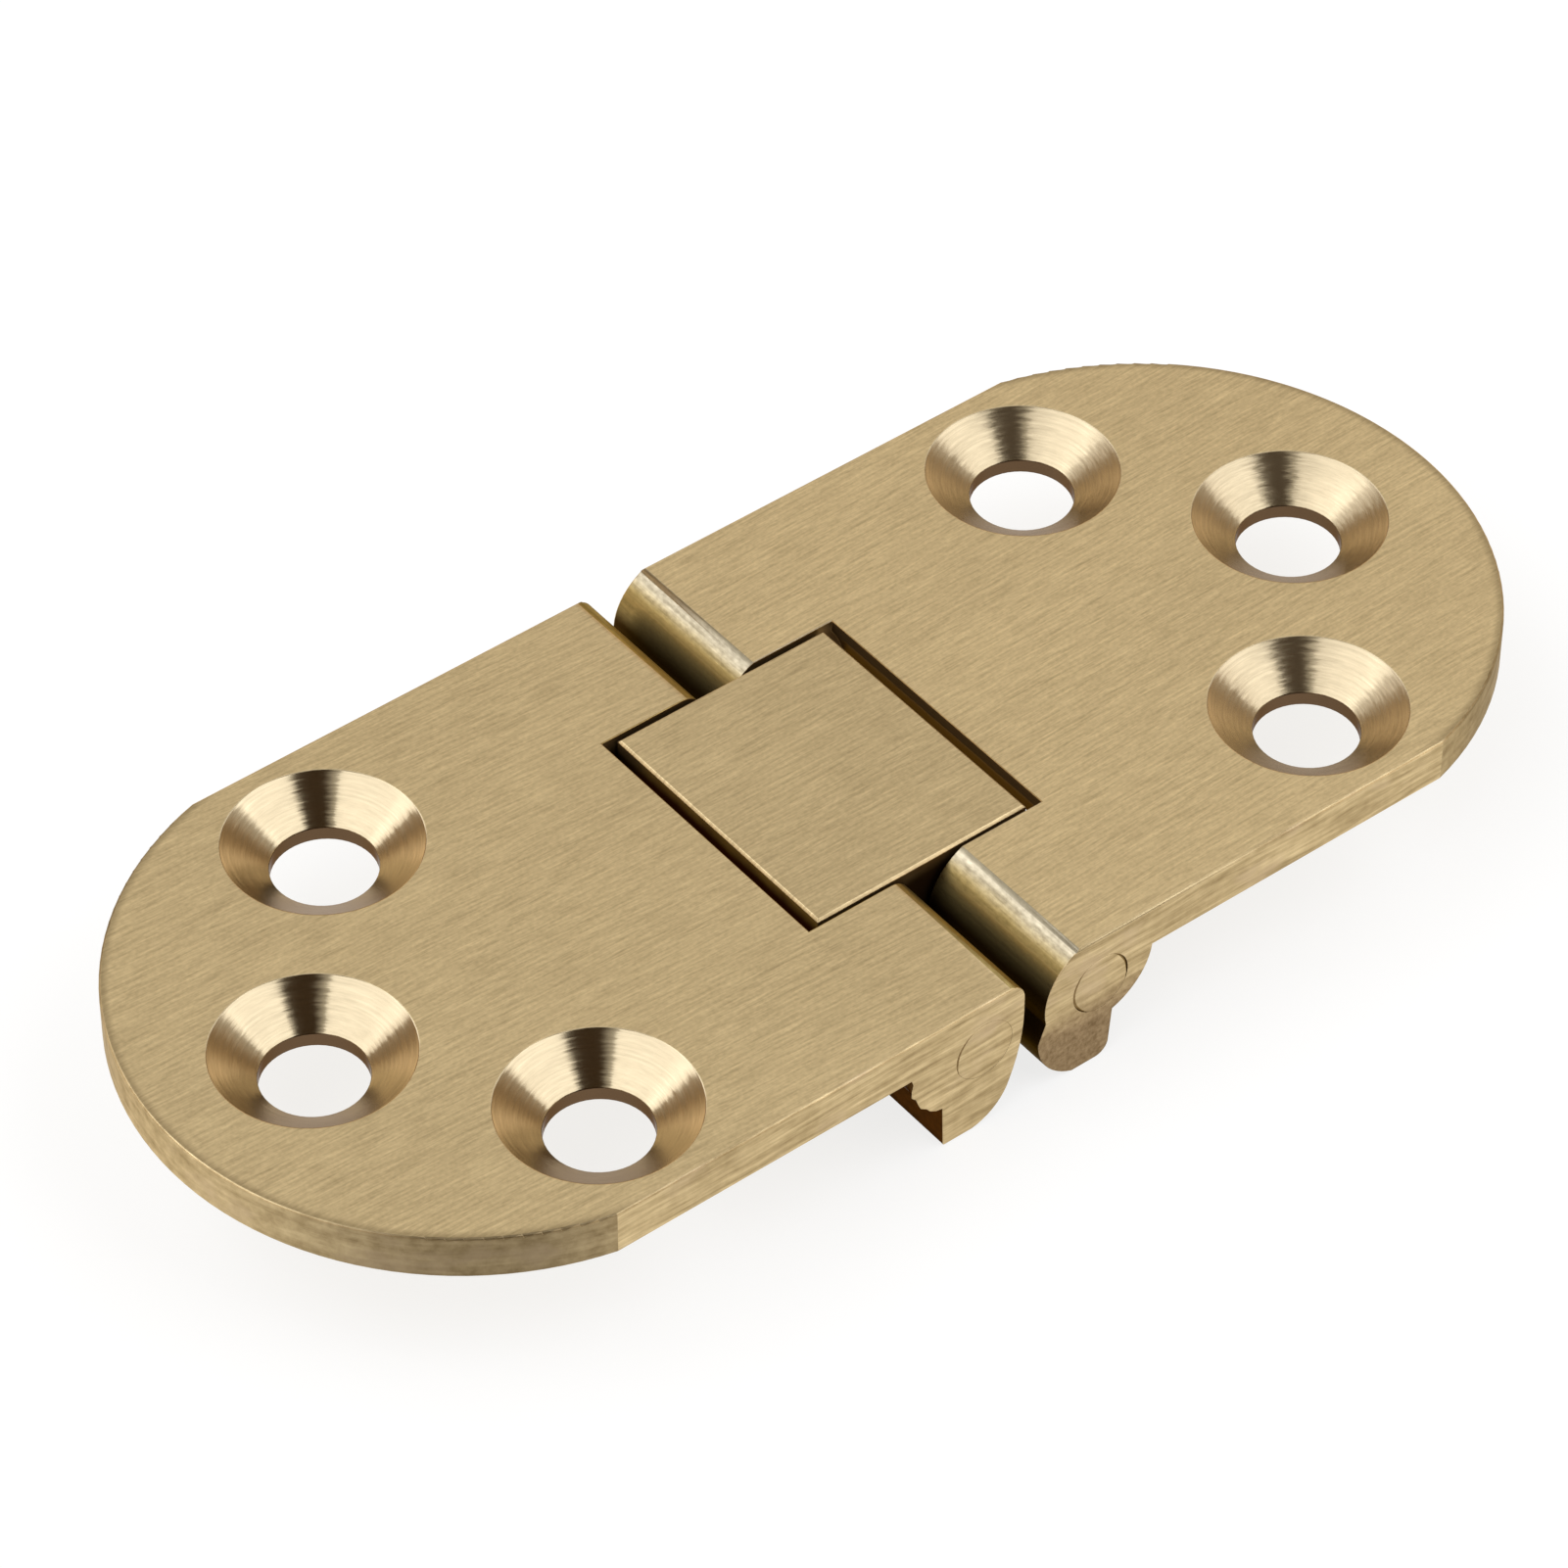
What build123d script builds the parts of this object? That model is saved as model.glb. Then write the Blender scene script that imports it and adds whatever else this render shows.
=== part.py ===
"""Flip top hinge: two D-shaped flush leaves folded about two cross pins in one centre link.

Frame: millimetres, +X along the open hinge, +Y along the pins, +Z up.
Origin: middle of the open hinge in plan, on the plane that the two stop lobes stand on.
The profiles below are drawn from the flush top face (z = 0 there) and lifted by DEPTH at the end.
"""
import os
from math import sqrt

from build123d import *

# ---- driving dimensions (mm) ----
HALF_LENGTH = 34.0        # hinge centre to the apex of a leaf's round end
WIDTH = 30.0              # leaf width, along the pins
END_RADIUS = 15.45        # round end of a leaf, a little over half the width, so it meets the sides at a corner
PLATE = 2.2               # leaf plate thickness
DEPTH = 7.2               # flush top face down to the bottom of the stop lobes
EDGE_ROUND = 0.12         # top outer edges, broken by sanding

PIN_X = 3.15              # pin axes, either side of the hinge centre
PIN_DEPTH = 2.75          # pin axes, below the flush top face
PIN_R = 1.5
PIN_CHAMFER = 0.12
LINK_BORE_R = 1.55        # running clearance of 0.05 on the pin

LINK_HALF_X = 5.65        # link top, half length
LINK_HALF_Y = 6.95        # link half width
LINK_EDGE = 0.12          # broken edge round the link's top
RECESS_HALF_X = 6.30      # mouth of the recess in the leaves
RECESS_HALF_Y = 7.18
SWING_R = 3.82            # hollow in the recess end, round the pin, for the link's corner
STOP_GAP = 0.08           # link underside to the stop web when the hinge is flat

HOLE_R = 2.35             # screw holes for 4 mm countersunk screws
SINK_R = 4.40             # countersink rim
SINK_DEPTH = 1.5          # rim down to the straight hole, a cone of about 108 degrees
HOLE_PAIR_X = 19.2
HOLE_PAIR_Y = 9.7
HOLE_END_X = 26.6

NOSE_R = 3.00             # round nose of the flap leaf, about its pin
CORNER_R = 0.95           # rounded inner top corner of the fixed leaf
FIXED_INNER_X = -1.00     # inner face of the fixed leaf

# ---- derived ----
HALF_W = WIDTH / 2
ARC_X = HALF_LENGTH - END_RADIUS
ARC_MEET_X = ARC_X + sqrt(END_RADIUS ** 2 - HALF_W ** 2)
LINK_END_R = LINK_HALF_X - PIN_X                 # lower ends of the link turn about the pins
WEB_TOP = -PIN_DEPTH - LINK_END_R - STOP_GAP     # top of the web that joins a leaf's two lobes
LIFT = Location((0, 0, DEPTH))


def plan(sign):
    """Leaf outline from above: straight sides with a round end, top edges rounded over."""
    with BuildSketch(Plane.XY.offset(-DEPTH - 1)) as sk:
        with BuildLine():
            Polyline((sign * ARC_MEET_X, -HALF_W), (-sign * 2, -HALF_W),
                     (-sign * 2, HALF_W), (sign * ARC_MEET_X, HALF_W))
            ThreePointArc((sign * ARC_MEET_X, HALF_W), (sign * HALF_LENGTH, 0),
                          (sign * ARC_MEET_X, -HALF_W))
        make_face()
    block = extrude(sk.sketch, DEPTH + 1)
    return fillet(block.faces().sort_by(Axis.Z)[-1].edges(), EDGE_ROUND)


def fixed_profile():
    """Side view of the fixed leaf: square inner end with a rounded top corner, and a deep stop lobe."""
    c = CORNER_R * (1 - sqrt(0.5))
    with BuildSketch(Plane.XZ) as sk:
        with BuildLine():
            Polyline((-7.00, -PLATE), (-40, -PLATE), (-40, 0), (FIXED_INNER_X - CORNER_R, 0))
            ThreePointArc((FIXED_INNER_X - CORNER_R, 0), (FIXED_INNER_X - c, -c),
                          (FIXED_INNER_X, -CORNER_R))
            Line((FIXED_INNER_X, -CORNER_R), (FIXED_INNER_X, -1.9))
            ThreePointArc((FIXED_INNER_X, -1.9), (-1.19, -3.7), (-1.72, -5.5))
            ThreePointArc((-1.72, -5.5), (-2.47, -6.63), (-3.70, -DEPTH))
            Polyline((-3.70, -DEPTH), (-5.25, -DEPTH), (-5.32, -4.92))
            ThreePointArc((-5.32, -4.92), (-6.34, -4.02), (-7.00, -PLATE))
        make_face()
    return extrude(sk.sketch, HALF_W, both=True)


def flap_profile():
    """Side view of the flap leaf: round nose about the pin, and a stop lobe that leans inwards."""
    crease_x = PIN_X - sqrt(NOSE_R ** 2 - PIN_DEPTH ** 2)
    low_z = -3.45
    low_x = PIN_X - sqrt(NOSE_R ** 2 - (low_z + PIN_DEPTH) ** 2)
    with BuildSketch(Plane.XZ) as sk:
        with BuildLine():
            Polyline((6.00, -PLATE), (40, -PLATE), (40, 0), (crease_x, 0))
            ThreePointArc((crease_x, 0), (PIN_X - NOSE_R, -PIN_DEPTH), (low_x, low_z))
            ThreePointArc((low_x, low_z), (0.02, -3.98), (-0.16, -4.50))
            ThreePointArc((-0.16, -4.50), (0.36, -6.10), (1.75, -DEPTH))
            Line((1.75, -DEPTH), (3.05, -DEPTH))
            ThreePointArc((3.05, -DEPTH), (3.54, -6.99), (3.75, -6.50))
            Line((3.75, -6.50), (3.90, -4.78))
            ThreePointArc((3.90, -4.78), (5.20, -3.95), (6.00, -PLATE))
        make_face()
    return extrude(sk.sketch, HALF_W, both=True)


def cross_bar(x, r, half_y, chamfer_len=0.0):
    """Round bar along Y on a pin axis."""
    bar = Pos(x, 0, -PIN_DEPTH) * Rot(90, 0, 0) * Cylinder(r, 2 * half_y)
    if chamfer_len:
        bar = chamfer(bar.edges().filter_by(GeomType.CIRCLE), chamfer_len)
    return bar


def slab(x0, x1, half_y, z0, z1):
    return Pos((x0 + x1) / 2, 0, (z0 + z1) / 2) * Box(abs(x1 - x0), 2 * half_y, z1 - z0)


def recess(sign):
    """Pocket for the link: square mouth, end wall hollowed about the pin, web left below."""
    mouth = slab(sign * RECESS_HALF_X, -sign * 6, RECESS_HALF_Y, -PIN_DEPTH, 1)
    inner = slab(sign * PIN_X, -sign * 6, RECESS_HALF_Y, WEB_TOP, 0)
    swing = cross_bar(sign * PIN_X, SWING_R, RECESS_HALF_Y)
    swing -= slab(-20, 20, 20, -20, WEB_TOP)
    swing -= slab(-20, 20, 20, 0, 20)
    return mouth + inner + swing


def screw_hole(x, y):
    """Straight hole with a countersink from the top face."""
    cone = Pos(x, y, -SINK_DEPTH / 2) * Cone(HOLE_R, SINK_R, SINK_DEPTH)
    over = Pos(x, y, 0.5) * Cylinder(SINK_R, 1.0)
    return Pos(x, y, -PLATE / 2) * Cylinder(HOLE_R, PLATE + 2) + cone + over


def leaf(sign, profile):
    body = plan(sign) & profile
    for x, y in ((HOLE_PAIR_X, HOLE_PAIR_Y), (HOLE_PAIR_X, -HOLE_PAIR_Y), (HOLE_END_X, 0)):
        body -= screw_hole(sign * x, y)
    body -= recess(sign)
    body -= cross_bar(sign * PIN_X, PIN_R, HALF_W + 1)
    return body


def link():
    """Centre link: flat square top, lower ends rounded about the two pins."""
    low = -PIN_DEPTH - LINK_END_R
    k = LINK_END_R * sqrt(0.5)
    with BuildSketch(Plane.XZ) as sk:
        with BuildLine():
            Polyline((-LINK_HALF_X, -PIN_DEPTH), (-LINK_HALF_X, 0), (LINK_HALF_X, 0),
                     (LINK_HALF_X, -PIN_DEPTH))
            ThreePointArc((LINK_HALF_X, -PIN_DEPTH), (PIN_X + k, -PIN_DEPTH - k), (PIN_X, low))
            Line((PIN_X, low), (-PIN_X, low))
            ThreePointArc((-PIN_X, low), (-PIN_X - k, -PIN_DEPTH - k), (-LINK_HALF_X, -PIN_DEPTH))
        make_face()
    body = extrude(sk.sketch, LINK_HALF_Y, both=True)
    body = chamfer(body.faces().sort_by(Axis.Z)[-1].edges(), LINK_EDGE)
    for sign in (-1, 1):
        body -= cross_bar(sign * PIN_X, LINK_BORE_R, LINK_HALF_Y + 1)
    return body


NODES = {
    "fixed_leaf": leaf(-1, fixed_profile()),
    "flap_leaf": leaf(1, flap_profile()),
    "centre_link": link(),
    "fixed_leaf_pin": cross_bar(-PIN_X, PIN_R, HALF_W, PIN_CHAMFER),
    "flap_leaf_pin": cross_bar(PIN_X, PIN_R, HALF_W, PIN_CHAMFER),
}

os.makedirs("parts", exist_ok=True)
for name, shape in NODES.items():
    solid = shape.solids()[0]
    export_step(LIFT * solid, f"parts/{name}.step")
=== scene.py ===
import math

import bmesh
import bpy
from mathutils import Matrix, Vector


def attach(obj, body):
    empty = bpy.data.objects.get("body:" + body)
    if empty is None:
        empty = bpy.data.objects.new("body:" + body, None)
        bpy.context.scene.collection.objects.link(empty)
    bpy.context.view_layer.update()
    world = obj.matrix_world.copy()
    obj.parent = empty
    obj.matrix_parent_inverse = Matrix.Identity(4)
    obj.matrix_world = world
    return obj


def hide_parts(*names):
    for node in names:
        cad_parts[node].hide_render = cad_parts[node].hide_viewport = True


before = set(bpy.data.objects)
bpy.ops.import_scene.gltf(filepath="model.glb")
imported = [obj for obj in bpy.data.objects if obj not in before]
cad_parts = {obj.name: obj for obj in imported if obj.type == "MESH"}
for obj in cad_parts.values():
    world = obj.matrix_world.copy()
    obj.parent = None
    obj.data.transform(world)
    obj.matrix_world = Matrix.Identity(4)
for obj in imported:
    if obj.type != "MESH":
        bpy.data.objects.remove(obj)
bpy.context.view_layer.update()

MM = 0.001
TOP = 7.2                  # flush top face, above the floor
PLATE_Z = 5.0              # underside of the leaf plates
PIN_X, PIN_Z, PIN_R = 3.15, 4.45, 1.5
HALF_W = 15.0
HALF_LENGTH = 34.0
END_R = 15.45
EDGE_ROUND = 0.12
ARC_X = HALF_LENGTH - END_R
ARC_MEET = ARC_X + math.sqrt(END_R ** 2 - HALF_W ** 2)
SINK_R, HOLE_R, SINK_Z = 4.40, 2.35, 5.7
HOLES = ((19.2, 9.7), (19.2, -9.7), (26.6, 0.0))
RECESS_X, RECESS_Y = 6.30, 7.18
NOSE_R = 3.00
UV = "brush"               # u runs along the tool marks and v across them, both in millimetres


# ---------------------------------------------------------------- node helpers
class Tree:
    """Short names for the shader nodes used below."""

    def __init__(self, tree):
        self.t = tree
        self.n = tree.nodes
        self.n.clear()

    def link(self, a, b):
        self.t.links.new(a, b)

    def put(self, socket, value):
        if hasattr(value, "is_output"):
            self.link(value, socket)
        else:
            socket.default_value = value

    def math(self, op, a, b=None, c=None, clamp=False):
        m = self.n.new("ShaderNodeMath")
        m.operation, m.use_clamp = op, clamp
        for i, x in enumerate((a, b, c)):
            if x is not None:
                self.put(m.inputs[i], x)
        return m.outputs[0]

    def add(self, a, b):
        return self.math("ADD", a, b)

    def sub(self, a, b):
        return self.math("SUBTRACT", a, b)

    def mul(self, a, b):
        return self.math("MULTIPLY", a, b)

    def split(self, v):
        s = self.n.new("ShaderNodeSeparateXYZ")
        self.link(v, s.inputs[0])
        return s.outputs

    def vec(self, x, y, z=0.0):
        c = self.n.new("ShaderNodeCombineXYZ")
        for i, a in enumerate((x, y, z)):
            self.put(c.inputs[i], a)
        return c.outputs[0]

    def vscale(self, v, k):
        m = self.n.new("ShaderNodeVectorMath")
        m.operation = "MULTIPLY"
        self.link(v, m.inputs[0])
        m.inputs[1].default_value = k if hasattr(k, "__len__") else (k, k, k)
        return m.outputs[0]

    def dot(self, v, k):
        m = self.n.new("ShaderNodeVectorMath")
        m.operation = "DOT_PRODUCT"
        self.link(v, m.inputs[0])
        m.inputs[1].default_value = k
        return m.outputs["Value"]

    def noise(self, v, detail=3.0, rough=0.55, scale=1.0, distort=0.0):
        x = self.n.new("ShaderNodeTexNoise")
        self.link(v, x.inputs["Vector"])
        x.inputs["Scale"].default_value = scale
        x.inputs["Detail"].default_value = detail
        x.inputs["Roughness"].default_value = rough
        x.inputs["Distortion"].default_value = distort
        return x.outputs[0]

    def ramp(self, v, a, b, lo=0.0, hi=1.0, smooth=True):
        r = self.n.new("ShaderNodeMapRange")
        r.interpolation_type = "SMOOTHSTEP" if smooth else "LINEAR"
        r.clamp = True
        self.put(r.inputs["Value"], v)
        for name, x in (("From Min", a), ("From Max", b), ("To Min", lo), ("To Max", hi)):
            self.put(r.inputs[name], x)
        return r.outputs[0]

    def window(self, v, lo, hi, soft):
        off = self.math("ABSOLUTE", self.sub(v, (lo + hi) / 2))
        return self.ramp(off, (hi - lo) / 2 - soft, (hi - lo) / 2 + soft, 1.0, 0.0)

    def mix(self, f, a, b):
        m = self.n.new("ShaderNodeMix")
        m.data_type = "RGBA"
        self.put(m.inputs["Factor"], f)
        self.put(m.inputs[6], a)
        self.put(m.inputs[7], b)
        return m.outputs[2]

    def bump(self, height, strength, distance, normal=None):
        b = self.n.new("ShaderNodeBump")
        b.inputs["Strength"].default_value = strength
        b.inputs["Distance"].default_value = distance
        self.link(height, b.inputs["Height"])
        if normal is not None:
            self.link(normal, b.inputs["Normal"])
        return b.outputs[0]

    def uv(self):
        u = self.n.new("ShaderNodeUVMap")
        u.uv_map = UV
        return self.split(u.outputs[0])

    def place(self):
        """Position on the piece, in millimetres, in the row frame at rest."""
        c = self.n.new("ShaderNodeTexCoord")
        return self.vscale(c.outputs["Object"], 1000.0)


def rgb(r, g, b):
    return (r, g, b, 1.0)


def metal(name, aniso=0.0):
    """(material, tree helper, its Principled node), a bare metal."""
    m = bpy.data.materials.new(name)
    m.use_nodes = True
    t = Tree(m.node_tree)
    out = t.n.new("ShaderNodeOutputMaterial")
    p = t.n.new("ShaderNodeBsdfPrincipled")
    p.inputs["Metallic"].default_value = 1.0
    p.inputs["Anisotropic"].default_value = aniso
    if aniso:
        g = t.n.new("ShaderNodeTangent")
        g.direction_type = "UV_MAP"
        g.uv_map = UV
        t.link(g.outputs[0], p.inputs["Tangent"])
        p.inputs["Anisotropic Rotation"].default_value = 0.25
    t.link(p.outputs[0], out.inputs["Surface"])
    return m, t, p


def spread(t, parts):
    """0.5 plus each noise's swing about 0.5 times its weight."""
    total = 0.5
    for value, weight in parts:
        total = t.add(t.mul(t.sub(value, 0.5), weight), total)
    return total


# ---------------------------------------------------------------- materials
GAP_TARNISH_AND_SHADE = (0.040, 0.020, 0.007)          # tarnish and painted shade in the gaps


def brushed_top(name, seed, tilt, gain):
    """Flat faces brushed along the hinge on a belt: fine short lines, a few longer ones, faint clouds.
    The rim of the round ends is rounded over by the belt, and the top carries a little painted shade along it."""
    m, t, p = metal(name, 0.45)
    u, v, _ = t.uv()
    v = t.add(v, t.mul(u, tilt))
    fine = t.noise(t.vec(t.mul(u, 0.42), t.mul(v, 5.4), seed), 2.0, 0.7)
    hair = t.noise(t.vec(t.mul(u, 0.9), t.mul(v, 11.0), seed + 7.1), 1.0, 0.6)
    band = t.noise(t.vec(t.mul(u, 0.06), t.mul(v, 1.1), seed + 11.9), 2.0, 0.55)
    cloud = t.noise(t.vec(t.mul(u, 0.12), t.mul(v, 0.16), seed + 20.0), 2.0, 0.5)
    grain = t.noise(t.vec(t.mul(u, 4.6), t.mul(v, 5.6), seed + 31.0), 1.0, 0.6)
    tone = spread(t, ((fine, 1.18), (hair, 0.60), (band, 0.24), (cloud, 0.24), (grain, 0.55)))
    tone = t.math("ADD", tone, 0.0, clamp=True)
    x, y, _ = t.split(t.place())
    out = t.math("MAXIMUM", t.sub(t.math("ABSOLUTE", x), ARC_X), 0.0)
    r = t.math("SQRT", t.add(t.mul(out, out), t.mul(y, y)))
    # painted shade: the top darkens along the rim of the round ends
    rim_painted_shade = t.ramp(r, END_R - 0.50, END_R - 0.10, 0.0, 0.42)
    low, high = ([k * gain for k in c] for c in ((0.438, 0.338, 0.182), (0.829, 0.656, 0.371)))
    colour = t.mix(tone, rgb(*low), rgb(*high))
    t.link(t.mix(rim_painted_shade, colour, rgb(0.150, 0.098, 0.040)), p.inputs["Base Color"])
    t.link(t.ramp(tone, 0.0, 1.0, 0.48, 0.34, False), p.inputs["Roughness"])
    height = spread(t, ((fine, 0.8), (hair, 0.4)))
    t.link(t.bump(height, 0.4, 0.012 * MM), p.inputs["Normal"])
    return m


def ground_edge(name, seed, arc_corner_shade=0.42, dark_below=None):
    """Outline faces, ground along the edge by hand: broader lines, mottling and paler burnished patches.
    The round ends carry painted shade, darkening towards their corners to the given level, and painted light makes
    them a little lighter right at them. Below the height dark_below the face is left as cast, browner and mottled."""
    m, t, p = metal(name, 0.35)
    p.inputs["Specular Tint"].default_value = rgb(0.82, 0.72, 0.58)
    u, v, _ = t.uv()
    along = t.math("ABSOLUTE", t.sub(u, 100.0))
    wob = t.noise(t.vec(t.mul(u, 0.16), t.mul(v, 0.5), seed + 2.0), 1.0)
    v = t.add(v, t.mul(t.sub(wob, 0.5), 0.5))
    fine = t.noise(t.vec(t.mul(u, 0.26), t.mul(v, 3.9), seed), 3.0, 0.62)
    broad = t.noise(t.vec(t.mul(u, 0.16), t.mul(v, 1.3), seed + 5.0), 2.0, 0.55)
    spots = t.noise(t.vec(t.mul(u, 1.25), t.mul(v, 1.3), seed + 9.0), 3.0, 0.65)
    straight = t.ramp(along, 24.0, 26.0)
    lines = t.mul(t.sub(fine, 0.5), t.add(t.mul(straight, 0.9), 0.8))
    blots = t.mul(t.sub(spots, 0.5), t.add(t.mul(straight, -0.6), 1.2))
    tone = t.add(t.add(lines, blots), spread(t, ((broad, 0.6),)))
    # painted shade on the round ends: darker towards the corners, lighter again right at them
    shade = t.add(t.ramp(along, 2.0, 14.0, 1.0, arc_corner_shade), t.ramp(along, 16.5, 21.5, 0.0, 0.24))
    shade = t.add(t.mul(shade, t.sub(1.0, straight)), straight)
    bright = t.ramp(t.noise(t.vec(t.mul(u, 0.24), t.mul(v, 0.40), seed + 14.0), 3.0, 0.6), 0.52, 0.68, 0.0, 0.6)
    if dark_below:
        z = t.split(t.place())[2]
        pits = t.noise(t.vec(t.mul(u, 4.2), t.mul(v, 4.2), seed + 18.0), 2.0, 0.6)
        cast = t.ramp(t.add(z, t.mul(t.sub(spots, 0.5), 0.9)), dark_below[0], dark_below[1], 1.0, 0.0)
        mottled = spread(t, ((spots, 1.0), (pits, 1.3), (fine, 0.2)))
        tone = t.add(tone, t.mul(cast, t.sub(mottled, tone)))
        # the lobe's as-cast darkening is folded into the same factor
        shade = t.mul(shade, t.sub(1.0, t.mul(cast, 1.0 - dark_below[2])))
        bright = t.mul(bright, t.sub(1.0, cast))
        warm = t.mul(cast, 0.75)
    tone = t.math("ADD", tone, 0.0, clamp=True)
    colour = t.mix(tone, rgb(0.317, 0.228, 0.108), rgb(0.793, 0.629, 0.360))
    colour = t.mix(bright, colour, rgb(0.600, 0.462, 0.288))
    if dark_below:
        colour = t.mix(warm, colour, t.mix(tone, rgb(0.330, 0.212, 0.105), rgb(0.790, 0.560, 0.330)))
    colour = t.mix(shade, rgb(0.030, 0.014, 0.004), colour)
    t.link(colour, p.inputs["Base Color"])
    t.link(t.ramp(tone, 0.0, 1.0, 0.52, 0.36, False), p.inputs["Roughness"])
    height = spread(t, ((fine, 0.7), (broad, 0.4), (spots, 0.5)))
    t.link(t.bump(height, 0.45, 0.03 * MM), p.inputs["Normal"])
    return m


def turned(name, seed, rough, waver, short, lean):
    """Countersinks: bright turned cones with fine tool rings, and a browner drilled wall below them."""
    m, t, p = metal(name, 0.85)
    p.inputs["Specular Tint"].default_value = rgb(0.58, 0.50, 0.45)
    u, v, _ = t.uv()
    ring = t.noise(t.vec(t.mul(u, 0.16), t.mul(v, 8.0), seed), 3.0, 0.65)
    tick = t.noise(t.vec(t.mul(u, 1.3), t.mul(v, 8.0), seed + 4.0), 2.0, 0.6)
    haze = t.noise(t.vec(t.mul(u, 0.30), t.mul(v, 0.7), seed + 8.0), 2.0, 0.5)
    tone = spread(t, ((ring, 0.8), (tick, 0.5), (haze, 0.5)))
    tone = t.math("ADD", tone, 0.0, clamp=True)
    colour = t.mix(tone, rgb(0.350, 0.284, 0.178), rgb(0.615, 0.500, 0.322))
    wall = t.ramp(t.split(t.place())[2], SINK_Z - 0.03, SINK_Z + 0.03, 1.0, 0.0)
    colour = t.mix(wall, colour, rgb(0.150, 0.092, 0.050))
    t.link(colour, p.inputs["Base Color"])
    t.link(t.ramp(tone, 0.0, 1.0, 1.2 * rough, 0.85 * rough, False), p.inputs["Roughness"])
    height = spread(t, ((ring, 0.6), (tick, 1.0)))
    swing = t.noise(t.vec(t.mul(u, short), t.mul(v, 6.5), seed + 13.0), 2.0, 0.65)
    faces = t.n.new("ShaderNodeNormalMap")           # each ring leans along its turn, and wavers a little
    faces.uv_map = UV
    t.link(t.vec(t.add(t.mul(t.sub(swing, 0.5), waver), 0.5 + lean), 0.5, 1.0), faces.inputs["Color"])
    t.link(t.bump(height, 0.18, 0.012 * MM, faces.outputs[0]), p.inputs["Normal"])
    return m


def drawn(name, seed, light, dark, edge, tarnish_shade_heights=None, is_flap_leaf=False):
    """Faces left as the bar was drawn: long lines along the pins, smooth. In the gap the metal browns with
    depth, tarnish and painted shade together, and on the flap leaf the nose's crown carries a painted highlight,
    lighter in colour."""
    m, t, p = metal(name, 0.5)
    u, v, _ = t.uv()
    line = t.noise(t.vec(t.mul(u, 0.05), t.mul(v, 3.6), seed), 3.0, 0.6)
    grain = t.noise(t.vec(t.mul(u, 2.6), t.mul(v, 5.0), seed + 6.0), 2.0, 0.6)
    stain = t.noise(t.vec(t.mul(u, 0.30), t.mul(v, 0.7), seed + 12.0), 2.0, 0.55)
    tone = spread(t, ((line, 1.5), (grain, 1.1), (stain, 0.5)))
    tone = t.math("ADD", tone, 0.0, clamp=True)
    colour = t.mix(tone, rgb(*dark), rgb(*light))
    rough = t.ramp(tone, 0.0, 1.0, 0.42, 0.26, False)
    p.inputs["Specular Tint"].default_value = rgb(*edge)
    if tarnish_shade_heights:
        z = t.add(t.split(t.place())[2], t.mul(t.sub(stain, 0.5), 0.35))
        # painted highlight: the crown of the flap leaf's nose is painted lighter
        if is_flap_leaf:
            painted_crown_highlight = t.mix(tone, rgb(0.264, 0.222, 0.149), rgb(0.584, 0.507, 0.358))
            colour = t.mix(t.ramp(z, 6.50, 7.08), colour, painted_crown_highlight)
        # tarnish and painted shade: darker and browner lower down in the gap
        tarnish_and_painted_shade = t.ramp(z, tarnish_shade_heights[0], tarnish_shade_heights[1], 1.0, 0.0)
        colour = t.mix(tarnish_and_painted_shade, colour, rgb(*GAP_TARNISH_AND_SHADE))
        rough = t.add(rough, t.mul(tarnish_and_painted_shade, 0.2))
    t.link(colour, p.inputs["Base Color"])
    t.link(rough, p.inputs["Roughness"])
    height = spread(t, ((line, 0.9), (grain, 0.5)))
    t.link(t.bump(height, 0.4, 0.015 * MM), p.inputs["Normal"])
    return m


def milled(name, seed, grime_and_shade):
    """Recess and link sides: cutter lines, duller and darker than the outside, the darkness partly painted shade in
    the recess, and browner with depth from tarnish and painted shade.
    """
    m, t, p = metal(name, 0.25)
    p.inputs["Specular Tint"].default_value = rgb(0.50, 0.36, 0.20)
    u, v, _ = t.uv()
    line = t.noise(t.vec(t.mul(u, 0.25), t.mul(v, 4.0), seed), 3.0, 0.6)
    dirt = t.noise(t.vec(t.mul(u, 0.5), t.mul(v, 0.6), seed + 5.0), 2.0, 0.6)
    tone = spread(t, ((line, 1.0), (dirt, 0.9)))
    tone = t.math("ADD", tone, 0.0, clamp=True)
    # dark milled colours: partly the metal's own colour, partly painted shade in the recess
    colour = t.mix(tone, rgb(0.180, 0.105, 0.040), rgb(0.480, 0.330, 0.150))
    z = t.add(t.split(t.place())[2], t.mul(t.sub(dirt, 0.5), 0.4))
    # tarnish and painted shade: darker and browner lower down
    tarnish_and_painted_shade = t.ramp(z, 6.30, 7.30, 1.0, 0.0)
    t.link(t.mix(tarnish_and_painted_shade, colour, rgb(*grime_and_shade)), p.inputs["Base Color"])
    t.link(t.add(t.ramp(tone, 0.0, 1.0, 0.50, 0.34, False), t.mul(tarnish_and_painted_shade, 0.2)), p.inputs["Roughness"])
    t.link(t.bump(line, 0.35, 0.02 * MM), p.inputs["Normal"])
    return m


# ---------------------------------------------------------------- pieces
def inset(x, y):
    """How far a point of the leaves' plan lies inside their outline."""
    ax = abs(x)
    if ax < ARC_MEET:
        return HALF_W - abs(y)
    return END_R - math.hypot(ax - ARC_X, y)


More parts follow.
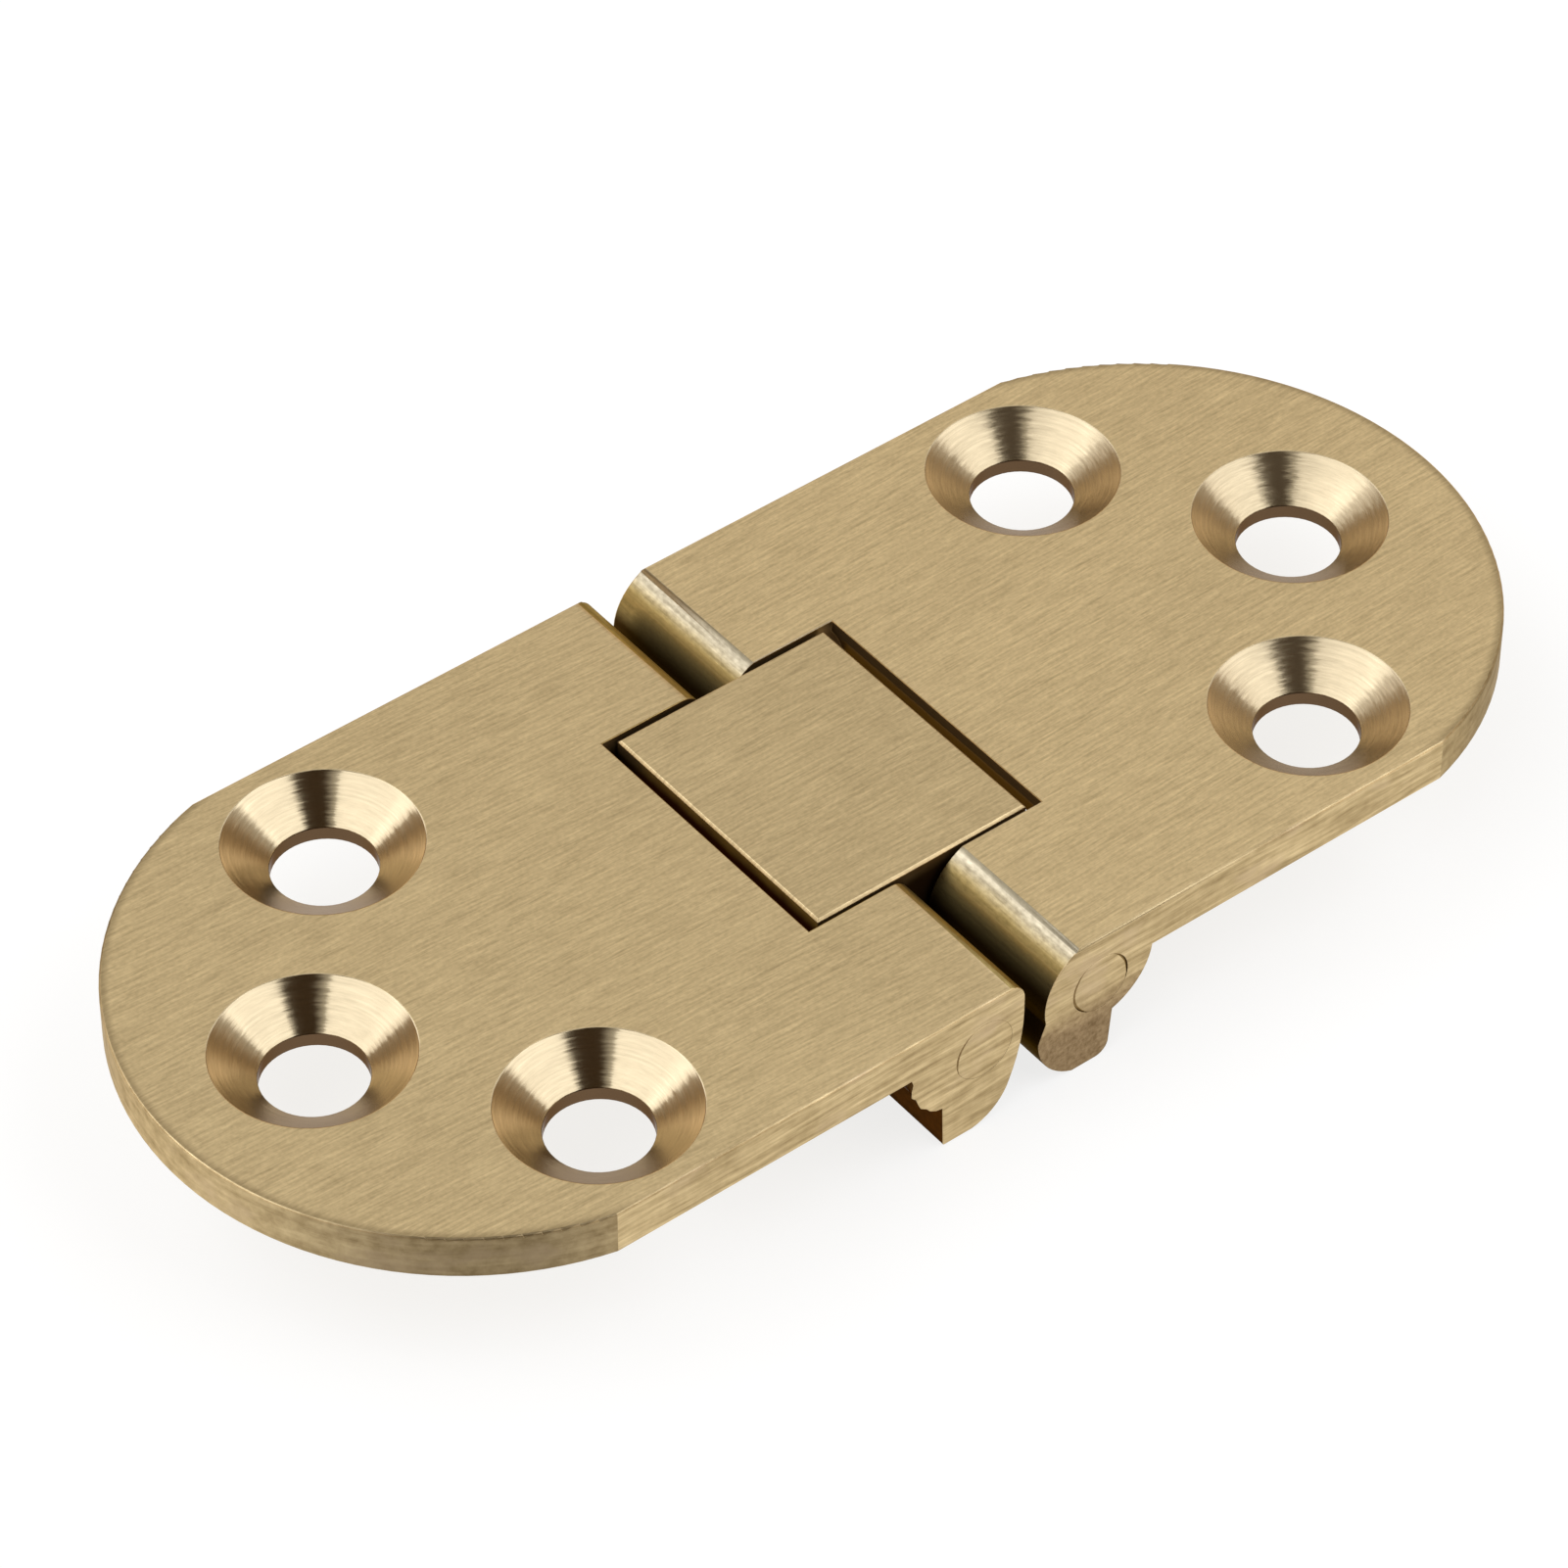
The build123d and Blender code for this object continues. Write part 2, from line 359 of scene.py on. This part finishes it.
def leaf_region(sign):
    """Which finish a leaf's face has, from its middle c and its normal n, in millimetres."""

    def region(c, n):
        x, y, z = c
        ax = x * sign
        if n.z > 0.99 and z > TOP - 0.03:
            return "top", None
        for hx, hy in HOLES:
            r = math.hypot(ax - hx, y - hy)
            if r < SINK_R + 0.02 and z > PLATE_Z + 0.02 and not (n.z > 0.99 and r > SINK_R - 0.05):
                return "turned", (hx * sign, hy)
        if n.z > 0.97 and z > TOP - 0.03:
            return "top", None
        in_recess = abs(y) < RECESS_Y + 0.03 and ax < RECESS_X + 1.3 and z > 1.8
        outer = abs(y) > HALF_W - 0.2 and abs(n.y) > 0.25
        if ax > ARC_MEET - 0.1 and math.hypot(ax - ARC_X, y) > END_R - 0.2 and n.z > -0.7:
            outer = True
        if outer and n.z > -0.7:
            return "edge", None
        if in_recess and (abs(n.y) > 0.5 or n.x * sign < 0.3 or n.z > 0.3) and abs(y) < RECESS_Y + 0.03:
            return "milled", None
        if math.hypot(x - sign * PIN_X, z - PIN_Z) < PIN_R + 0.04:
            return "milled", None
        if n.z < -0.9 and z > PLATE_Z - 0.1:
            return "under", None
        if z < PLATE_Z + 0.05 and (n.z < -0.5 or n.x * sign > 0.0):
            return "lobe", None
        return "drawn", None

    return region


def link_region(c, n):
    if n.z > 0.4:
        return "top", None
    return "milled", None


def uv_of(kind, hole, co, n, sign):
    """u along the tool marks and v across them, in millimetres."""
    x, y, z = co
    if kind == "top":
        return x, y
    if kind == "turned":
        a = math.atan2(y - hole[1], x - hole[0])
        return a * 3.5, (z - PLATE_Z) * 1.69 + 0.37 * hole[0]
    if kind == "edge":
        if x * sign > ARC_MEET - 0.3 and abs(n.y) < 0.985 * math.hypot(n.x, n.y):
            a = math.atan2(y, x * sign - ARC_X)
            return 100.0 + a * END_R, z + 7.0 * sign
        return x, z + (13.0 if y > 0 else 3.0)
    if kind in ("drawn", "under", "lobe"):
        if abs(n.z) > 0.9:
            return y, x
        a = math.atan2(z - PIN_Z, x - sign * PIN_X)
        return y, a * 3.0 + 20.0
    if abs(n.y) > 0.7:                       # milled side walls
        return x, z
    if abs(n.x) > 0.5:                       # milled end walls
        return y, z
    return y, x


NOTCH = ((-7.00, 5.0), (-5.32, 2.28), (-3.67, 5.18))   # arc behind the fixed leaf's lobe: its ends and its centre

LUMPS = ((0.0, 0.0), (0.12, -0.06), (0.27, 0.22), (0.42, 0.08), (0.58, 0.23), (0.72, 0.13), (0.84, 0.20), (1.0, 0.0))


def notch_turn(p):
    """How far round the notch's arc a point lies, 0 to 1, or None if it isn't on the arc."""
    (x0, z0), (x1, z1), (xc, zc) = NOTCH
    if not 3.1 < math.hypot(p.x - xc, p.z - zc) < 3.5 or p.x > x1 + 0.1:
        return None
    a, a0, a1 = (math.atan2(z - zc, x - xc) % (2 * math.pi) for x, z in ((p.x, p.z), (x0, z0), (x1, z1)))
    return (a - a0) / (a1 - a0)


def notch_cut(bm):
    """A cut across the notch's face, close to the near side, so that the ragged edge stays local."""
    faces = [f for f in bm.faces if abs(f.normal.y) < 0.1 and f.normal.x < -0.2 and f.normal.z < 0.05
             and all(-7.05 < v.co.x / MM < -5.27 and 2.2 < v.co.z / MM < 5.05 for v in f.verts)]
    geom = set(faces)
    for f in faces:
        geom.update(f.edges)
        geom.update(f.verts)
    bmesh.ops.bisect_plane(bm, geom=list(geom), dist=1e-7, plane_co=(0.0, -14.5 * MM, 0.0), plane_no=(0.0, 1.0, 0.0))


def notch_burr(bm):
    """The near edge of the notch is left ragged by the casting: small lumps that stand into the notch."""
    for v in bm.verts:
        p = v.co / MM
        t = notch_turn(p) if p.y < -14.9 else None
        if t is None or not 0.02 < t < 0.98:
            continue
        i = max(j for j in range(len(LUMPS) - 1) if LUMPS[j][0] <= t)
        (t0, h0), (t1, h1) = LUMPS[i], LUMPS[i + 1]
        f = (t - t0) / (t1 - t0)
        lump = h0 + (h1 - h0) * f * f * (3.0 - 2.0 * f)
        v.co += Vector((p.x - NOTCH[2][0], 0.0, p.z - NOTCH[2][1])).normalized() * lump * MM


CONE_TILT = math.atan2(TOP - SINK_Z, SINK_R - HOLE_R)      # slope of the countersinks


def true_cones(ob, sign, turned_index):
    """The countersinks and the holes below them shaded as true cones and cylinders, whatever their facets."""
    bpy.context.view_layer.update()
    even = ob.evaluated_get(bpy.context.evaluated_depsgraph_get())
    normals = [n.vector.copy() for n in even.to_mesh().corner_normals]
    even.to_mesh_clear()
    ob.modifiers.clear()
    me = ob.data
    for f in me.polygons:
        if f.material_index != turned_index:
            continue
        cone = abs(f.normal.z - math.cos(CONE_TILT)) < 0.05
        if not cone and abs(f.normal.z) > 0.05:
            continue
        for i in f.loop_indices:
            x, y, _ = me.vertices[me.loops[i].vertex_index].co / MM
            hx, hy = min(HOLES, key=lambda h: math.hypot(h[0] * sign - x, h[1] - y))
            inward = Vector((hx * sign - x, hy - y, 0.0)).normalized()
            normals[i] = inward * math.sin(CONE_TILT) + Vector((0.0, 0.0, math.cos(CONE_TILT))) if cone else inward
    me.normals_split_custom_set(normals)


def smooth_piece(node, body, region, finishes, sign=1, bevel=0.05, keep_sharp=18.0):
    """A piece with the node's own shape: welded, its corner edges broken, its faces sorted by finish."""
    bm = bmesh.new()
    bm.from_mesh(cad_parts[node].data)
    bmesh.ops.remove_doubles(bm, verts=bm.verts, dist=2e-7)
    bmesh.ops.dissolve_limit(bm, angle_limit=math.radians(0.4), verts=bm.verts, edges=bm.edges)
    bmesh.ops.recalc_face_normals(bm, faces=bm.faces)
    bm.normal_update()
    if node == "fixed_leaf":
        notch_cut(bm)
    corner = []
    for e in bm.edges:
        e.smooth = True
        if len(e.link_faces) != 2:
            continue
        angle = math.degrees(e.calc_face_angle(0.0))
        if angle < keep_sharp:
            continue
        a, b = (v.co / MM for v in e.verts)
        rounded = all(inset(p.x, p.y) < EDGE_ROUND + 0.01 and p.z > TOP - EDGE_ROUND - 0.01 for p in (a, b))
        bore = all(abs(p.y) > HALF_W - 0.01 and abs(math.hypot(abs(p.x) - PIN_X, p.z - PIN_Z) - PIN_R) < 0.02
                   for p in (a, b))
        if bore:
            e.smooth = False
        if rounded or bore:
            continue
        if angle > 26.0:
            corner.append(e)
        else:
            e.smooth = False
    bmesh.ops.bevel(bm, geom=corner, offset=bevel * MM, offset_type="OFFSET", segments=2, profile=0.5,
                    affect="EDGES", clamp_overlap=False, loop_slide=False, miter_outer="SHARP")
    bmesh.ops.remove_doubles(bm, verts=bm.verts, dist=2e-7)
    if node == "fixed_leaf":
        notch_burr(bm)
    bm.normal_update()
    names = list(finishes)
    uv = bm.loops.layers.uv.new(UV)
    for f in bm.faces:
        f.smooth = True
        c, n = f.calc_center_median() / MM, f.normal
        kind, hole = region(c, n)
        f.material_index = names.index(kind)
        for loop in f.loops:
            q = uv_of(kind, hole, loop.vert.co / MM, n, sign)
            loop[uv].uv = q
        if kind == "turned":                        # no seam through one face
            us = [loop[uv].uv.x for loop in f.loops]
            if max(us) - min(us) > 8.0:
                for loop in f.loops:
                    if loop[uv].uv.x < 0.0:
                        loop[uv].uv.x += 2 * math.pi * 3.5
    me = bpy.data.meshes.new(node + "_shape")
    bm.to_mesh(me)
    bm.free()
    for k in names:
        me.materials.append(finishes[k])
    ob = bpy.data.objects.new(node + "_piece", me)
    bpy.context.scene.collection.objects.link(ob)
    w = ob.modifiers.new("even_normals", "WEIGHTED_NORMAL")
    w.mode, w.weight, w.keep_sharp = "FACE_AREA", 50, True
    if "turned" in names:
        true_cones(ob, sign, names.index("turned"))
    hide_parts(node)
    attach(ob, body)
    return ob


OLIVE = ((0.435, 0.324, 0.125), (0.215, 0.157, 0.056), (0.70, 0.58, 0.42))
PLAIN = ((0.560, 0.425, 0.225), (0.330, 0.240, 0.115), (0.80, 0.72, 0.58))
# the lobe faces under the plates: very dark, tarnish and painted shade
LOBE_TARNISH_AND_SHADE = ((0.140, 0.085, 0.036), (0.066, 0.038, 0.015), (0.20, 0.12, 0.05))
RING = ((0.300, 0.205, 0.098), (0.150, 0.098, 0.042), (0.40, 0.28, 0.14))
CAST = (2.2, 4.4, 0.50)                # the flap leaf's lobe below these heights, and how dark it is


def leaf_finishes(tag, seed, tilt, gain, cast, is_flap_leaf):
    return {
        "top": brushed_top(tag + "_brushed_top", seed, tilt, gain),
        "edge": ground_edge(tag + "_ground_edge", seed + 50.0, 0.56 if is_flap_leaf else 0.42, cast),
        "turned": turned(tag + "_turned_countersink", seed + 80.0, *((0.23, 0.075, 1.2, 0.015) if is_flap_leaf
                                                                     else (0.15, 0.050, 0.45, -0.010))),
        "drawn": drawn(tag + "_drawn_nose", seed + 120.0, *OLIVE, (5.0, 6.25) if is_flap_leaf else (6.2, 7.2), is_flap_leaf),
        "under": drawn(tag + "_drawn_underside", seed + 160.0, *PLAIN),
        "lobe": drawn(tag + "_drawn_lobe", seed + 180.0, *LOBE_TARNISH_AND_SHADE),
        "milled": milled(tag + "_milled_recess", seed + 200.0, (0.190, 0.113, 0.047) if is_flap_leaf else GAP_TARNISH_AND_SHADE),
    }


smooth_piece("fixed_leaf", "fixed_leaf", leaf_region(-1),
             leaf_finishes("fixed_leaf", 1.0, 0.05, 1.0, None, False), -1)
smooth_piece("flap_leaf", "flap_leaf", leaf_region(1),
             leaf_finishes("flap_leaf", 311.0, -0.015, 1.05, CAST, True), 1)
smooth_piece("centre_link", "centre_link", link_region,
             {"top": brushed_top("centre_link_brushed_top", 620.0, 0.01, 0.96),
              "milled": milled("centre_link_milled_sides", 720.0, GAP_TARNISH_AND_SHADE)}, 1, bevel=0.03)


def pin_piece(node, body, x, seed, cast, faint):
    """A drawn rod, its ends ground flush with the leaf, so they share its lines.
    The broken edge is smeared shut where faint(angle) is near 0."""
    steps = 72
    bm = bmesh.new()
    uv = bm.loops.layers.uv.new(UV)
    rows = []
    for end in (-1, 1):
        for ring in range(4):
            row = []
            for i in range(steps):
                a = 2 * math.pi * i / steps
                f = faint(a) if end < 0 else faint(a + 2.0)
                cut = 0.015 + 0.105 * f
                r, y = ((0.0, HALF_W), (PIN_R * 0.6, HALF_W), (PIN_R - cut, HALF_W), (PIN_R, HALF_W - 0.5 * cut))[ring]
                if ring == 0:
                    row.append(None)
                    continue
                row.append(bm.verts.new((MM * (x + r * math.cos(a)), MM * end * y, MM * (PIN_Z + r * math.sin(a)))))
            rows.append((end, ring, row))
    hub = {e: bm.verts.new((MM * x, MM * e * HALF_W, MM * PIN_Z)) for e in (-1, 1)}
    table = {(e, r): row for e, r, row in rows}

    def face(verts, kind):
        f = bm.faces.new(verts)
        f.smooth = True
        f.material_index = kind
        return f

    for e in (-1, 1):
        for i in range(steps):
            j = (i + 1) % steps
            face((hub[e], table[e, 1][i], table[e, 1][j]), 0)
            face((table[e, 1][i], table[e, 2][i], table[e, 2][j], table[e, 1][j]), 0)
            face((table[e, 2][i], table[e, 3][i], table[e, 3][j], table[e, 2][j]), 1)
    for i in range(steps):
        j = (i + 1) % steps
        face((table[-1, 3][i], table[1, 3][i], table[1, 3][j], table[-1, 3][j]), 1)
    bmesh.ops.recalc_face_normals(bm, faces=bm.faces)
    for f in bm.faces:
        for loop in f.loops:
            p = loop.vert.co / MM
            if f.material_index == 0:
                loop[uv].uv = (p.x, p.z + (13.0 if p.y > 0 else 3.0))
            else:
                a = math.atan2(p.z - PIN_Z, p.x - x)
                loop[uv].uv = (p.y, a * PIN_R)
        if f.material_index == 1:
            vs = [loop[uv].uv.y for loop in f.loops]
            if max(vs) - min(vs) > 4.0:
                for loop in f.loops:
                    if loop[uv].uv.y < 0:
                        loop[uv].uv.y += 2 * math.pi * PIN_R
    for e in bm.edges:
        if len(e.link_faces) == 2 and e.calc_face_angle(0.0) > math.radians(30):
            e.smooth = False
    me = bpy.data.meshes.new(node + "_shape")
    bm.to_mesh(me)
    bm.free()
    me.materials.append(ground_edge(node + "_ground_end", seed, dark_below=cast))
    me.materials.append(drawn(node + "_drawn_side", seed + 30.0, *RING))
    ob = bpy.data.objects.new(node + "_piece", me)
    bpy.context.scene.collection.objects.link(ob)
    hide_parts(node)
    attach(ob, body)
    return ob


def arc_mask(*spans):
    """1 inside the given (middle, half width) spans of angle, in degrees, easing to 0 outside."""

    def f(a):
        best = 0.0
        for mid, half in spans:
            d = abs((math.degrees(a) - mid + 180.0) % 360.0 - 180.0)
            best = max(best, min(1.0, max(0.0, (half + 14.0 - d) / 28.0)))
        return best

    return f


pin_piece("fixed_leaf_pin", "fixed_leaf", -PIN_X, 51.0, None, arc_mask((160.0, 32.0)))
pin_piece("flap_leaf_pin", "flap_leaf", PIN_X, 361.0, CAST, arc_mask((185.0, 48.0), (20.0, 30.0)))


# ---------------------------------------------------------------- floor, light, camera
RIGHT = Vector((0.78691083, -0.61706563, 0.00116378))
DOWN = Vector((-0.42925359, -0.54875711, -0.71736113))
AHEAD = Vector((0.44329753, 0.56399968, -0.69670055))

bm = bmesh.new()
bmesh.ops.create_grid(bm, x_segments=8, y_segments=8, size=1.5)
me = bpy.data.meshes.new("floor")
bm.to_mesh(me)
bm.free()
floor = bpy.data.objects.new("floor", me)
floor.location.z = -0.02 * MM
bpy.context.scene.collection.objects.link(floor)
fm = bpy.data.materials.new("pale_floor")
fm.use_nodes = True
ft = Tree(fm.node_tree)
fo = ft.n.new("ShaderNodeOutputMaterial")
paper = ft.n.new("ShaderNodeBsdfDiffuse")
paper.inputs["Color"].default_value = rgb(0.22, 0.22, 0.219)
glow = ft.n.new("ShaderNodeEmission")
glow.inputs["Color"].default_value = rgb(1.0, 1.0, 0.995)
glow.inputs["Strength"].default_value = 0.80
fp = ft.n.new("ShaderNodeAddShader")
ft.link(paper.outputs[0], fp.inputs[0])
ft.link(glow.outputs[0], fp.inputs[1])
one_way = ft.n.new("ShaderNodeMixShader")        # seen from above only, so that the underside can be looked at
ft.link(ft.n.new("ShaderNodeNewGeometry").outputs["Backfacing"], one_way.inputs[0])
ft.link(fp.outputs[0], one_way.inputs[1])
ft.link(ft.n.new("ShaderNodeBsdfTransparent").outputs[0], one_way.inputs[2])
ft.link(one_way.outputs[0], fo.inputs["Surface"])
me.materials.append(fm)

world = bpy.data.worlds.new("studio")
bpy.context.scene.world = world
world.use_nodes = True
wt = Tree(world.node_tree)
coord = wt.n.new("ShaderNodeTexCoord").outputs["Generated"]
near = Vector((-0.62371, -0.78165, 0.0))
side = Vector((0.78691, -0.61707, 0.0))
az = wt.mul(wt.math("ARCTAN2", wt.dot(coord, side), wt.dot(coord, near)), 180.0 / math.pi)
el = wt.mul(wt.math("ARCSINE", wt.dot(coord, (0.0, 0.0, 1.0))), 180.0 / math.pi)
side_boxes = wt.mul(wt.add(wt.window(az, 50.0, 110.0, 2.0), wt.window(az, -109.0, -20.0, 2.0)),
                    wt.window(el, 27.0, 68.0, 2.0))
back_box = wt.mul(wt.window(az, -140.0, -96.0, 8.0), wt.window(el, 34.0, 70.0, 8.0))
left_box = wt.mul(wt.window(az, 104.0, 130.0, 4.0), wt.window(el, 38.0, 64.0, 4.0))
gap = wt.mul(wt.ramp(az, -22.0, 4.0), wt.mul(wt.ramp(az, 42.0, 53.0, 1.0, 0.0), wt.window(el, 8.0, 84.0, 6.0)))
low = wt.add(wt.ramp(el, 20.0, 40.0, 0.36, 1.0), wt.ramp(el, 3.0, 24.0, 1.25, 0.0))
far_boxes = wt.mul(wt.add(wt.mul(wt.window(az, -150.0, -121.0, 4.0), 0.85),
                          wt.mul(wt.window(az, 121.0, 150.0, 4.0), 0.5)), wt.window(el, 33.0, 46.0, 3.0))
boxes = wt.add(wt.add(wt.mul(side_boxes, 1.38), wt.mul(back_box, 1.0)), wt.add(wt.mul(left_box, 0.7), far_boxes))
open_sky = wt.sub(1.0, wt.mul(gap, 0.985))
room = wt.n.new("ShaderNodeBackground")
wt.link(wt.mul(wt.mul(low, 0.775), open_sky), room.inputs["Strength"])
tint = wt.mix(wt.ramp(el, 14.0, 42.0), rgb(1.0, 0.80, 0.56), rgb(1.0, 0.988, 0.955))
wt.link(wt.mix(wt.mul(wt.window(el, 15.0, 30.0, 5.0), 0.8), tint, rgb(1.0, 0.64, 0.32)), room.inputs["Color"])
lamps = wt.n.new("ShaderNodeBackground")
wt.link(wt.mul(boxes, open_sky), lamps.inputs["Strength"])
lamps.inputs["Color"].default_value = rgb(0.95, 1.0, 1.11)
dusk = wt.n.new("ShaderNodeBackground")
wt.link(wt.mul(gap, 0.05), dusk.inputs["Strength"])
dusk.inputs["Color"].default_value = rgb(1.0, 0.54, 0.18)
lit = wt.n.new("ShaderNodeAddShader")
wt.link(room.outputs[0], lit.inputs[0])
wt.link(lamps.outputs[0], lit.inputs[1])
bg = wt.n.new("ShaderNodeAddShader")
wt.link(lit.outputs[0], bg.inputs[0])
wt.link(dusk.outputs[0], bg.inputs[1])
plain = wt.n.new("ShaderNodeBackground")
plain.inputs["Color"].default_value = rgb(0.97, 0.97, 0.968)
seen = wt.n.new("ShaderNodeLightPath").outputs["Is Camera Ray"]
both = wt.n.new("ShaderNodeMixShader")
wt.link(seen, both.inputs[0])
wt.link(bg.outputs[0], both.inputs[1])
wt.link(plain.outputs[0], both.inputs[2])
wo = wt.n.new("ShaderNodeOutputWorld")
wt.link(both.outputs[0], wo.inputs["Surface"])

cam = bpy.data.cameras.new("camera")
cam.sensor_width, cam.sensor_fit, cam.lens = 36.0, "HORIZONTAL", 159.5625
cam.clip_start, cam.clip_end = 0.005, 20.0
co = bpy.data.objects.new("camera", cam)
m = Matrix.Identity(4)
for i, axis in enumerate((RIGHT, -DOWN, -AHEAD)):
    m[0][i], m[1][i], m[2][i] = axis
m[0][3], m[1][3], m[2][3] = -133.21991 * MM, -166.95504 * MM, (206.74154 + TOP) * MM
co.matrix_world = m
bpy.context.scene.collection.objects.link(co)
bpy.context.scene.camera = co
bpy.context.scene.view_settings.view_transform = "Standard"
